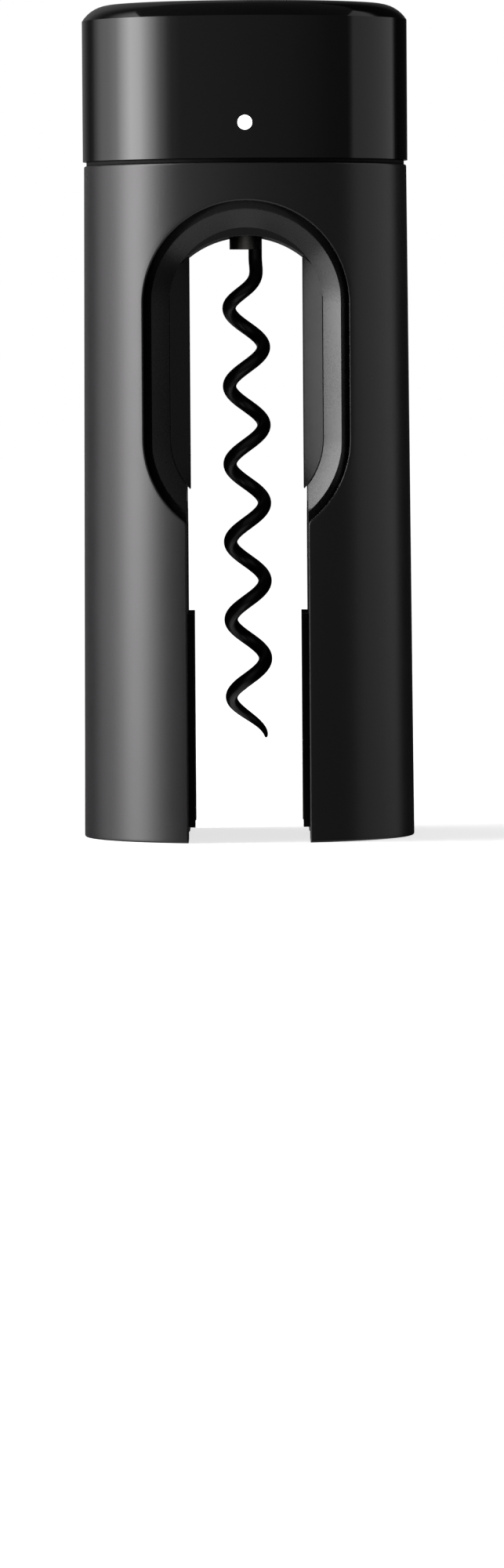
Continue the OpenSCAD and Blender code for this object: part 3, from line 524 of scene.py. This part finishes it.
def make_finishes(c):
    """Every finish of the corkscrew, by name."""
    return {
        # Injection-moulded ABS from a spark-eroded tool: an even, soft sheen over a fine grain.
        "satin_abs": finish("satin_moulded_abs", c.sleeve, "#323132", (0.225, 0.275), 0.3, 0.012,
                            ior=1.53),
        # ABS from a polished tool: a deep black with sharp reflections and faint flow waves.
        "gloss_abs": finish("polished_abs", c.cap, "#0d0c0c", (0.055, 0.085), 2.4, 0.0025,
                            ior=1.53),
        # Glass-filled nylon: a dense black, duller than the sleeve, with a slight orange peel.
        "filled_nylon": finish("glass_filled_nylon", c.frame, "#1b1a1a", (0.24, 0.3), 0.45, 0.006,
                               ior=1.65),
        # Moulded elastomer with a skin off a polished tool: its ribs catch the light in soft bands.
        "rubber_rib": finish("ribbed_elastomer", c.grip, "#151515", (0.16, 0.22), 0.35, 0.006,
                             ior=1.8),
        # Near-black for the unlit ring deep in the seam, darker than the frame's own nylon: painted
        # shade, so that it swallows nearly all the light.
        "seam_painted_shade": finish("painted_shade_black_nylon", "#040404", "#070707", (0.6, 0.7), 0.35, 0.01,
                            ior=1.3),
        "rubber_pad": finish("soft_elastomer", c.pad, "#222122", (0.55, 0.65), 0.35, 0.02,
                             ior=1.5, sheen=0.05),
        # Fluoropolymer coat baked on steel wire: near black with small soft highlights.
        "worm_coat": finish("baked_nonstick_coat", c.worm, "#171616", (0.3, 0.38), 0.4, 0.01,
                            ior=1.38, coat=0.1),
        # Clear light pipe over a white diode: a plain white glow.
        "lens_glow": finish("lit_acrylic_lens", "#f4f6ff", c.lens, (0.15, 0.2), 1.0, 0.002,
                            ior=1.49, glow=2.6),
        # Case-hardened steel, ground on the flanks: a neutral grey with fine grinding lines.
        "gear_steel": finish("ground_gear_steel", "#8c8b88", "#9f9e9a", (0.25, 0.38), 0.25, 0.006,
                             metallic=1.0, stretch=(0.2, 0.2, 1)),
        # Centreless-ground dowel pin: brighter and smoother than the gears.
        "pin_steel": finish("ground_pin_steel", "#adacaa", "#bcbbb8", (0.12, 0.2), 0.2, 0.003,
                            metallic=1.0, stretch=(0.1, 0.1, 1)),
        # Zinc-plated screw: a bluish bright grey with a slight bloom.
        "zinc_screw": finish("zinc_plated_steel", "#9aa0a6", "#b2b7bb", (0.25, 0.4), 0.4, 0.006,
                             metallic=1.0),
        # Hard-drawn spring wire: darker, with lengthwise draw marks.
        "spring_wire": finish("drawn_spring_steel", "#77756f", "#8d8b85", (0.25, 0.35), 0.3, 0.004,
                              metallic=1.0),
        # Oil-filled sintered bronze: a warm, open-grained bearing metal.
        "sintered_bronze": finish("sintered_bronze", "#8a6238", "#a87c4c", (0.4, 0.55), 0.3, 0.02,
                                  metallic=1.0),
        # Die-cast zinc: a pale, slightly cloudy grey from the hot tool.
        "cast_zinc": finish("die_cast_zinc", "#8e9092", "#a5a7a8", (0.38, 0.5), 1.2, 0.02,
                            metallic=1.0),
        # Nickel-plated deep-drawn sheet: a bright motor can with faint draw lines.
        "plated_sheet": finish("nickel_plated_sheet", "#b3b1aa", "#c6c4bd", (0.16, 0.26), 0.6,
                               0.004, metallic=1.0, stretch=(1, 1, 0.15)),
        # Unfilled nylon: milky, slightly translucent-looking white.
        "white_nylon": finish("moulded_nylon", "#d9d6cb", "#e6e3d9", (0.35, 0.45), 0.8, 0.01,
                              ior=1.53),
        # Hobbed brass: a yellow metal with fine cutter lines.
        "brass": finish("hobbed_brass", "#b08d4a", "#c6a55f", (0.2, 0.3), 0.3, 0.004,
                        metallic=1.0, stretch=(1, 1, 0.2)),
        # Stacked electrical steel: dark plates whose edges show as fine level lines.
        "laminated_steel": finish("laminated_silicon_steel", "#4f5052", "#77787a", (0.35, 0.5),
                                  0.5, 0.03, metallic=1.0, stretch=(0.05, 0.05, 1)),
        # Enamelled magnet wire: a red-brown gloss over copper.
        "enamelled_copper": finish("enamelled_copper_wire", "#8a3f1d", "#b0582c", (0.2, 0.32),
                                   0.35, 0.03, metallic=0.8, stretch=(1, 0.2, 1)),
        # Sintered ferrite: a flat charcoal ceramic.
        "ferrite": finish("sintered_ferrite", "#2a2a2c", "#37373a", (0.55, 0.7), 0.5, 0.015),
        # Glass-epoxy laminate under green solder mask: glossy over a woven base.
        "circuit_laminate": finish("glass_epoxy_laminate", "#0f4a2c", "#156039", (0.25, 0.35), 0.4,
                                   0.01, ior=1.55, coat=0.3),
        # White epoxy-moulded diode package: chalky and even.
        "diode_package": finish("moulded_diode_package", "#e9e7df", "#f4f2ea", (0.35, 0.45), 0.4,
                                0.005),
        # Aluminised polymer pouch: soft silver with small creases.
        "cell_pouch": finish("laminated_pouch_foil", "#9b9da0", "#b6b8ba", (0.3, 0.45), 2.2, 0.05,
                             metallic=0.6),
        # Phenolic switch body: a plain dark thermoset.
        "switch_shell": finish("moulded_phenolic", "#1b1a1a", "#262525", (0.4, 0.5), 0.4, 0.01),
    }


FINISH_OF_SLOT = {
    "sleeve": "satin_abs", "frame": "filled_nylon", "grip": "rubber_rib", "pad": "rubber_pad",
    "screw": "zinc_screw", "worm_coating": "worm_coat", "gear_steel": "gear_steel",
    "pin_steel": "pin_steel", "spring_steel": "spring_wire", "bronze": "sintered_bronze",
    "die_cast": "cast_zinc", "plated_sheet": "plated_sheet", "nylon": "white_nylon",
    "brass_gear": "brass", "lamination": "laminated_steel", "copper": "enamelled_copper",
    "magnet": "ferrite", "circuit_board": "circuit_laminate", "led_package": "diode_package",
    "lens": "lens_glow", "battery_pouch": "cell_pouch", "switch_body": "switch_shell",
    "cap": "gloss_abs",
}
FINISHES = {}
SLOT_OF_NODE = {part["node"]: part["material_slot"] for part in frame["record"]["subparts"]}
BODY_OF_NODE = {node: body for body, nodes in frame["record"]["behaviour"]["bodies"].items()
                for node in nodes}


def finish_for(node):
    """The finish of the slot that a CAD node has in the record."""
    return FINISHES[FINISH_OF_SLOT[SLOT_OF_NODE[node]]]


# ---------------------------------------------------------------- operators

class CORKSCREW_OT_finishes(bpy.types.Operator):
    """Makes the finishes and gives one to every CAD node"""
    bl_idname = "corkscrew.finishes"
    bl_label = "Finishes"

    def execute(self, context):
        FINISHES.update(make_finishes(context.scene.corkscrew.colours))
        for name, obj in frame["nodes"].items():
            obj.data.materials.clear()
            obj.data.materials.append(finish_for(name))
        return {"FINISHED"}


class CORKSCREW_OT_sleeve(bpy.types.Operator):
    """Builds the tapered sleeve with its rolled keyhole edge"""
    bl_idname = "corkscrew.sleeve"
    bl_label = "Sleeve"

    def execute(self, context):
        points, faces = sleeve_surface(context.scene.corkscrew.sleeve, SLEEVE_HIGH)
        piece("sleeve_shell", points, faces, "housing", finish_for("outer_sleeve"),
              ["outer_sleeve"])
        return {"FINISHED"}


class CORKSCREW_OT_worm(bpy.types.Operator):
    """Builds the coated wire worm"""
    bl_idname = "corkscrew.worm"
    bl_label = "Worm"

    def execute(self, context):
        points, faces = worm_surface(context.scene.corkscrew.worm, WORM_TOP)
        piece("worm_wire", points, faces, "spindle", finish_for("worm"),
              ["worm"], angle=60)
        return {"FINISHED"}


class CORKSCREW_OT_head(bpy.types.Operator):
    """Rounds the cap, the button and the light's lens"""
    bl_idname = "corkscrew.head"
    bl_label = "Head"

    def execute(self, context):
        edges = context.scene.corkscrew.edges
        for name, node, edge in (("cap_shell", "top_cap", edges.cap),
                                 ("button_top", "start_button", edges.small * 2),
                                 ("light_lens", "led_lens", edges.small)):
            eased_copy(name, node, BODY_OF_NODE[node], finish_for(node), edge)
        # The chassis ring takes the near-black painted-shade finish instead of its own slot's
        # finish.
        eased_copy("head_ring", "head_chassis", "housing",
                   FINISHES["seam_painted_shade"], edges.small)
        return {"FINISHED"}


class CORKSCREW_OT_frame(bpy.types.Operator):
    """Rounds the inner frame, its grips, pads and feet"""
    bl_idname = "corkscrew.frame"
    bl_label = "Frame"

    def execute(self, context):
        edges = context.scene.corkscrew.edges
        for name, node, edge in (("frame_body", "inner_frame", edges.frame),
                                 ("left_grip_rubber", "left_cork_grip", edges.small),
                                 ("right_grip_rubber", "right_cork_grip", edges.small),
                                 ("left_pad_rubber", "left_neck_pad", edges.small),
                                 ("right_pad_rubber", "right_neck_pad", edges.small),
                                 ("foot_plate_pair", "foot_plates", edges.small),
                                 ("spindle_end", "output_spindle", edges.small)):
            eased_copy(name, node, BODY_OF_NODE[node], finish_for(node), edge)
        return {"FINISHED"}


class CORKSCREW_OT_studio(bpy.types.Operator):
    """Sets the floor, the ring of soft lights, the surround and the camera"""
    bl_idname = "corkscrew.studio"
    bl_label = "Studio"

    def execute(self, context):
        settings = context.scene.corkscrew
        make_floor(settings)
        make_tent(settings.studio)
        make_surround(context.scene)
        make_camera(context.scene, settings.studio)
        return {"FINISHED"}


# Brightness of the soft lights by bearing: degrees from the front, left negative, share of the
# brightest. A tall softbox stands on the left, a dim panel on the right.
TENT_LEVELS = ((-180, 0.015), (-160, 0.02), (-150, 0.01), (-142, 0.004), (-136, 0.008),
               (-129, 0.05), (-122, 0.11), (-111, 0.175), (-102, 0.29), (-95, 0.6), (-87, 0.97),
               (-79, 0.92), (-71, 0.55), (-62, 0.19), (-54, 0.05), (-45, 0.03), (-20, 0.028),
               (0, 0.026), (30, 0.022), (50, 0.016), (62, 0.012), (79, 0.01), (82, 0.055),
               (127, 0.055), (132, 0.004), (137, 0.001), (160, 0.001), (180, 0.01))

# Share of that brightness by height in metres: the lamps hang high, so the cloth dims downwards.
TENT_HEIGHTS = ((-0.5, 0.3), (-0.1, 0.42), (0.13, 1.0), (1.1, 1.0))


def make_floor(settings):
    """A wide round floor at the foot, a ring of triangles, pale and kept out of reflections."""
    bearing = arc(0, 360, FLOOR_SIDES + 1)[:-1]
    rim = np.stack([np.cos(bearing), np.sin(bearing), np.zeros(FLOOR_SIDES)], axis=-1)
    points = np.concatenate([np.zeros((1, 3)), FLOOR_RADIUS * rim])
    turn = np.arange(FLOOR_SIDES)
    faces = np.stack([np.zeros(FLOOR_SIDES, int), turn + 1, (turn + 1) % FLOOR_SIDES + 1], axis=-1)
    mesh = bpy.data.meshes.new("studio_floor")
    mesh.from_pydata(points.tolist(), [], faces.tolist())
    obj = bpy.data.objects.new("studio_floor", mesh)
    bpy.context.scene.collection.objects.link(obj)
    # Matt paper, lifted by its own glow so that it stays pale in the soft light.
    made = bpy.data.materials.new("matt_paper_floor")
    made.use_nodes = True
    tree = made.node_tree
    tree.nodes.clear()
    where = add(tree, "ShaderNodeTexCoord")
    grain = add(tree, "ShaderNodeTexNoise",
                {"Vector": where.outputs["Object"], "Scale": 1 / (2 * MM), "Detail": 2.0})
    bump = add(tree, "ShaderNodeBump",
               {"Height": grain.outputs["Fac"], "Distance": 0.02 * MM, "Strength": 0.3})
    pale = linear(settings.colours.floor)
    reach = add(tree, "ShaderNodeVectorMath", {0: where.outputs["Object"]}, operation="LENGTH")
    glow = add(tree, "ShaderNodeMapRange",
               {"Value": reach.outputs["Value"], "From Min": 0.05, "From Max": 0.4,
                "To Min": 0.8, "To Max": 1.12}, interpolation_type="SMOOTHSTEP")
    shader = add(tree, "ShaderNodeBsdfPrincipled",
                 {"Base Color": pale, "Roughness": 0.9, "Normal": bump.outputs["Normal"],
                  "Emission Color": pale, "Emission Strength": glow.outputs["Result"]})
    add(tree, "ShaderNodeOutputMaterial", {"Surface": shader.outputs["BSDF"]})
    mesh.materials.append(made)
    obj.visible_glossy = False
    obj.visible_diffuse = False


def make_tent(studio):
    """An upright ring round the object that glows by bearing; the camera sees through it."""
    bearing = np.linspace(-180, 180, 145)
    level = np.interp(bearing, *zip(*TENT_LEVELS))
    turn = np.radians(bearing)
    ring = np.stack([studio.tent_radius * np.sin(turn), -studio.tent_radius * np.cos(turn)],
                    axis=-1)
    heights, shares = zip(*TENT_HEIGHTS)
    points = np.concatenate([np.column_stack([ring, np.full(bearing.size, h)]) for h in heights])
    mesh = bpy.data.meshes.new("light_tent")
    mesh.from_pydata(points.tolist(), [], grid_faces(len(heights), bearing.size).tolist())
    glow = mesh.attributes.new("glow", "FLOAT", "POINT")
    glow.data.foreach_set("value", np.outer(shares, level).ravel().astype(np.float32))
    obj = bpy.data.objects.new("light_tent", mesh)
    bpy.context.scene.collection.objects.link(obj)
    # Lit diffusion cloth, brightest where a lamp stands behind it.
    made = bpy.data.materials.new("lit_diffusion_cloth")
    made.use_nodes = True
    tree = made.node_tree
    tree.nodes.clear()
    level_at = add(tree, "ShaderNodeAttribute", attribute_name="glow")
    power = add(tree, "ShaderNodeMath",
                {0: level_at.outputs["Fac"], 1: studio.tent_power}, operation="MULTIPLY")
    shader = add(tree, "ShaderNodeEmission",
                 {"Color": (1.0, 0.985, 1.0, 1.0), "Strength": power.outputs[0]})
    add(tree, "ShaderNodeOutputMaterial", {"Surface": shader.outputs["Emission"]})
    mesh.materials.append(made)
    obj.visible_camera = False
    obj.visible_shadow = False


def make_surround(scene):
    """White where the camera looks past the object, and a dim grey for everything else."""
    world = bpy.data.worlds.new("studio_surround")
    world.use_nodes = True
    tree = world.node_tree
    tree.nodes.clear()
    ray = add(tree, "ShaderNodeLightPath")
    where = add(tree, "ShaderNodeTexCoord")
    axes = add(tree, "ShaderNodeSeparateXYZ", {"Vector": where.outputs["Generated"]})
    level = add(tree, "ShaderNodeMapRange",
                {"Value": axes.outputs["Z"], "From Min": -0.25, "From Max": 0.05,
                 "To Min": 0.55, "To Max": 0.05})
    dim = add(tree, "ShaderNodeBackground",
              {"Color": (1, 1, 1, 1), "Strength": level.outputs["Result"]})
    white = add(tree, "ShaderNodeBackground", {"Color": (1, 1, 1, 1), "Strength": 1.0})
    both = add(tree, "ShaderNodeMixShader",
               {"Fac": ray.outputs["Is Camera Ray"], 1: dim.outputs[0], 2: white.outputs[0]})
    add(tree, "ShaderNodeOutputWorld", {"Surface": both.outputs["Shader"]})
    scene.world = world
    scene.view_settings.view_transform = "Standard"


def make_camera(scene, studio):
    """A long lens just above the middle of the body, tipped slightly down."""
    data = bpy.data.cameras.new("studio_camera")
    data.lens = studio.lens
    data.sensor_width = 36.0
    data.sensor_fit = "AUTO"
    data.clip_start, data.clip_end = 0.01, 20.0
    camera = bpy.data.objects.new("studio_camera", data)
    scene.collection.objects.link(camera)
    eye = Vector((studio.aim_side, -studio.distance, studio.eye_height))
    aim = Vector((studio.aim_side, 0.0, studio.aim_height))
    turn = (aim - eye).to_track_quat("-Z", "Y").to_matrix().to_4x4()
    camera.matrix_world = Matrix.Translation(eye) @ turn @ Matrix.Rotation(studio.roll, 4, "Z")
    scene.camera = camera


class CORKSCREW_PT_panel(bpy.types.Panel):
    """Lists the corkscrew's sizes, colours and steps"""
    bl_idname = "CORKSCREW_PT_panel"
    bl_label = "Electric Corkscrew"
    bl_space_type = "VIEW_3D"
    bl_region_type = "UI"
    bl_category = "Corkscrew"

    def draw(self, context):
        settings = context.scene.corkscrew
        for group in (settings.sleeve, settings.worm, settings.edges, settings.colours,
                      settings.studio):
            box = self.layout.box()
            for key in group.__annotations__:
                box.prop(group, key)
        for step in STEPS:
            self.layout.operator(step.bl_idname)


GROUPS = (SleeveSizes, WormSizes, EdgeSizes, Colours, StudioSizes, CorkscrewSettings)
STEPS = (CORKSCREW_OT_finishes, CORKSCREW_OT_sleeve, CORKSCREW_OT_frame, CORKSCREW_OT_worm,
         CORKSCREW_OT_head, CORKSCREW_OT_studio)


def register():
    """Registers the settings, steps and panel."""
    for item in (*GROUPS, *STEPS, CORKSCREW_PT_panel):
        bpy.utils.register_class(item)
    bpy.types.Scene.corkscrew = PointerProperty(type=CorkscrewSettings)


def unregister():
    """Takes the settings, steps and panel away again."""
    del bpy.types.Scene.corkscrew
    for item in reversed((*GROUPS, *STEPS, CORKSCREW_PT_panel)):
        bpy.utils.unregister_class(item)


def main():
    """Registers the add-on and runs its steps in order."""
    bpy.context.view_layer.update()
    register()
    bpy.ops.corkscrew.finishes()
    bpy.ops.corkscrew.sleeve()
    bpy.ops.corkscrew.frame()
    bpy.ops.corkscrew.worm()
    bpy.ops.corkscrew.head()
    bpy.ops.corkscrew.studio()
    bpy.context.view_layer.update()


if __name__ == "__main__":
    main()
